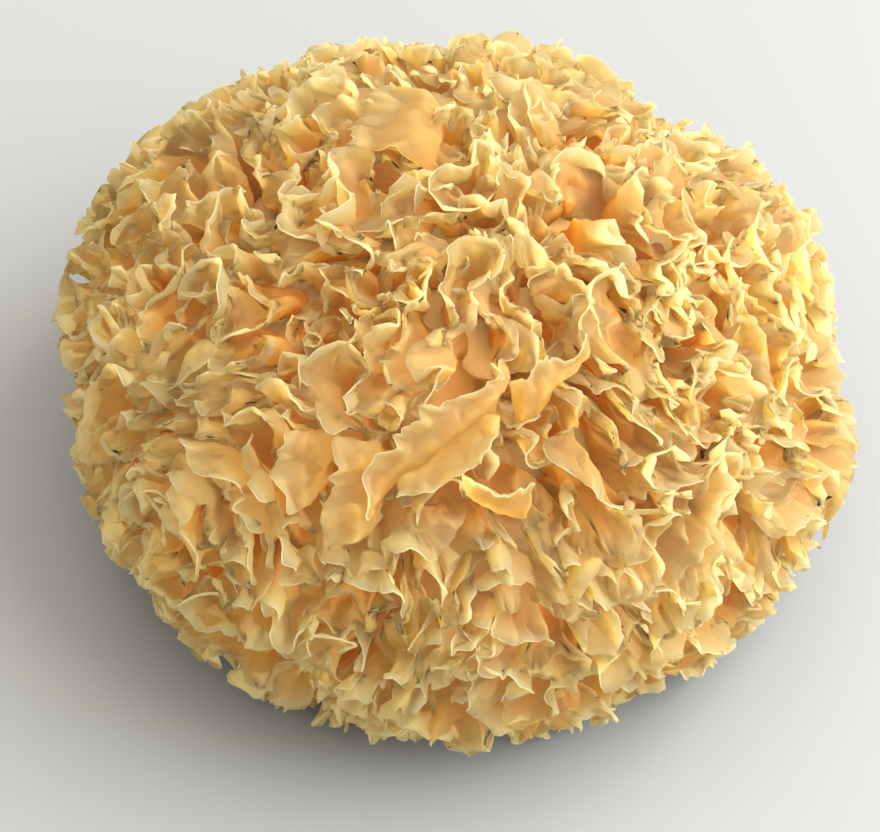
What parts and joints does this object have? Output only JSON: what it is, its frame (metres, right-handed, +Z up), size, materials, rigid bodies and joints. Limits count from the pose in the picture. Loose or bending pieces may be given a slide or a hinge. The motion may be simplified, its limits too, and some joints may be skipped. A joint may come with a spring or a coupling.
{
  "type": "dried snow fungus",
  "caption": "Dried snow fungus: a round head of thin, ruffled, tightly folded lobes on a flat trimmed root.",
  "frame": {"origin": "middle of the flat root cut that the head rests on", "axes": "+Z up, out of the root cut through the crown; -Y faces the viewer of the picture and +X is the viewer's right"},
  "size_m": [0.1063, 0.1064, 0.0593],
  "materials": {
    "dried_fungus": "matte, slightly translucent, paler at the crisp edges of the lobes"
  },
  "bodies": {
    "root": {"fruit_body": "dried_fungus"}
  },
  "joints": []
}
